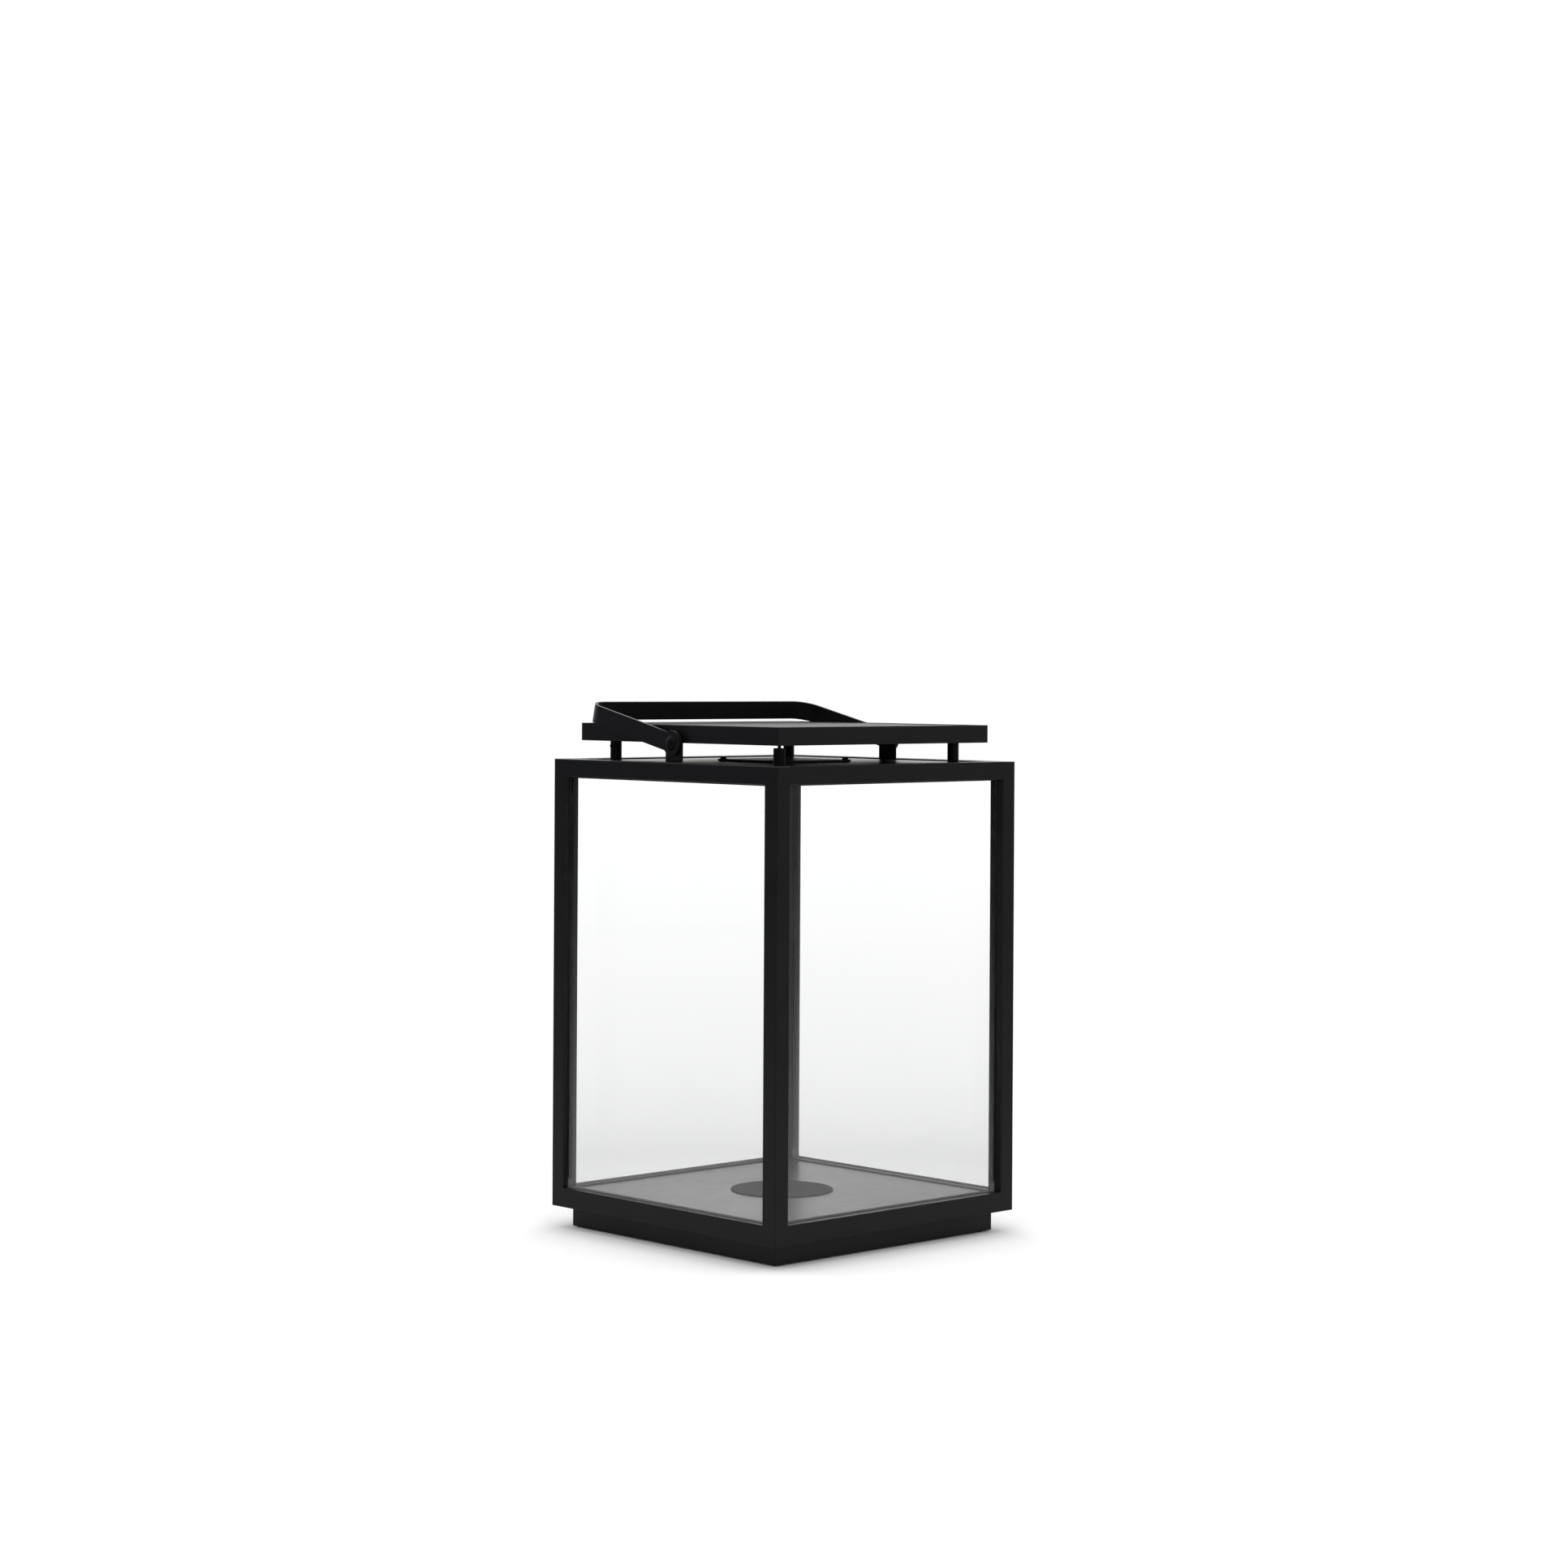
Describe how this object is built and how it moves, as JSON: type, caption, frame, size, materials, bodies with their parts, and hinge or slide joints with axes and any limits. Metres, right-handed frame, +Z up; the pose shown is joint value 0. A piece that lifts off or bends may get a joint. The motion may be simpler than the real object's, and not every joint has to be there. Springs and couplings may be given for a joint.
{
  "type": "solar lantern",
  "caption": "Tall square lantern with a black tube frame, glass sides, plinth, roof lamp module, a solar and battery box on standoffs and a swinging flat carrying strap.",
  "frame": {"origin": "on the ground under the middle of the lantern", "axes": "+Z up; the front is -Y; the strap pivots lie on a line along X and the strap rests towards +Y"},
  "size_m": [0.28, 0.28, 0.4522],
  "materials": {
    "frame_black": "fine-textured matt powder coat",
    "sheet_black": "fine-textured matt powder coat",
    "strap_black": "fine-textured matt powder coat",
    "disc_black": "matt black coat",
    "standoff_black": "matt black coat",
    "window_glass": "clear float glass",
    "seal_rubber": "matt black rubber",
    "lamp_black": "die-cast housing, matt black coat",
    "board_white": "white solder mask",
    "led_emitter": "yellow phosphor",
    "opal_diffuser": "opal acrylic",
    "screw_black": "black oxide steel",
    "screw_steel": "zinc-plated steel",
    "cable_black": "black cable jacket",
    "box_black": "fine-grained black moulding",
    "panel_glass": "tempered low-iron glass",
    "solar_cell": "monocrystalline silicon, dark blue-black",
    "ribbon_tin": "tinned copper ribbon",
    "backsheet_black": "black laminate",
    "battery_wrap": "blue shrink wrap",
    "foam_grey": "adhesive foam",
    "lead_red": "silicone wire",
    "board_green": "green solder mask",
    "chip_black": "moulded black",
    "button_black": "matt black button"
  },
  "bodies": {
    "lantern": {"post_front_left": "frame_black", "post_front_right": "frame_black", "post_back_left": "frame_black", "post_back_right": "frame_black", "top_rail_front": "frame_black", "top_rail_back": "frame_black", "top_rail_left": "frame_black", "top_rail_right": "frame_black", "bottom_rail_front": "frame_black", "bottom_rail_back": "frame_black", "bottom_rail_left": "frame_black", "bottom_rail_right": "frame_black", "roof_sheet": "sheet_black", "floor_sheet": "sheet_black", "floor_disc": "disc_black", "plinth": "frame_black", "foot_pads": "seal_rubber", "glass_front": "window_glass", "glass_back": "window_glass", "glass_left": "window_glass", "glass_right": "window_glass", "glass_seal_front": "seal_rubber", "glass_seal_back": "seal_rubber", "glass_seal_left": "seal_rubber", "glass_seal_right": "seal_rubber", "lamp_housing": "lamp_black", "lamp_gasket": "seal_rubber", "led_board": "board_white", "led_chips": "led_emitter", "lamp_diffuser": "opal_diffuser", "diffuser_ring": "lamp_black", "lamp_screws": "screw_black", "panel_standoffs": "standoff_black", "standoff_screws": "screw_steel", "grub_screws": "screw_black", "cable_conduit": "standoff_black", "cable_grommet": "seal_rubber", "lamp_cable": "cable_black", "solar_box_shell": "box_black", "solar_box_cover": "box_black", "cover_seal": "seal_rubber", "cover_screws": "screw_steel", "solar_glass": "panel_glass", "solar_cells": "solar_cell", "cell_ribbons": "ribbon_tin", "solar_backsheet": "backsheet_black", "solar_edge_seal": "seal_rubber", "battery_cells": "battery_wrap", "battery_pad": "foam_grey", "battery_leads": "lead_red", "solar_leads": "ribbon_tin", "controller_board": "board_green", "board_parts": "chip_black", "board_screws": "screw_steel", "power_switch": "screw_steel", "strap_bracket_left": "frame_black", "strap_bracket_right": "frame_black", "pivot_rivets": "screw_black"},
    "strap": {"carrying_strap": "strap_black"},
    "button": {"power_button": "button_black"}
  },
  "joints": [
    {"name": "strap_swing", "type": "hinge", "parent": "lantern", "child": "strap", "pos_m": [0, 0, 0.4187], "axis": [1, 0, 0], "range_deg": [-0.5, 154.5]},
    {"name": "power_button_press", "type": "slide", "parent": "lantern", "child": "button", "axis": [0, 0, 1], "range_m": [0, 0.0012], "stiffness_N_per_m": 600}
  ]
}
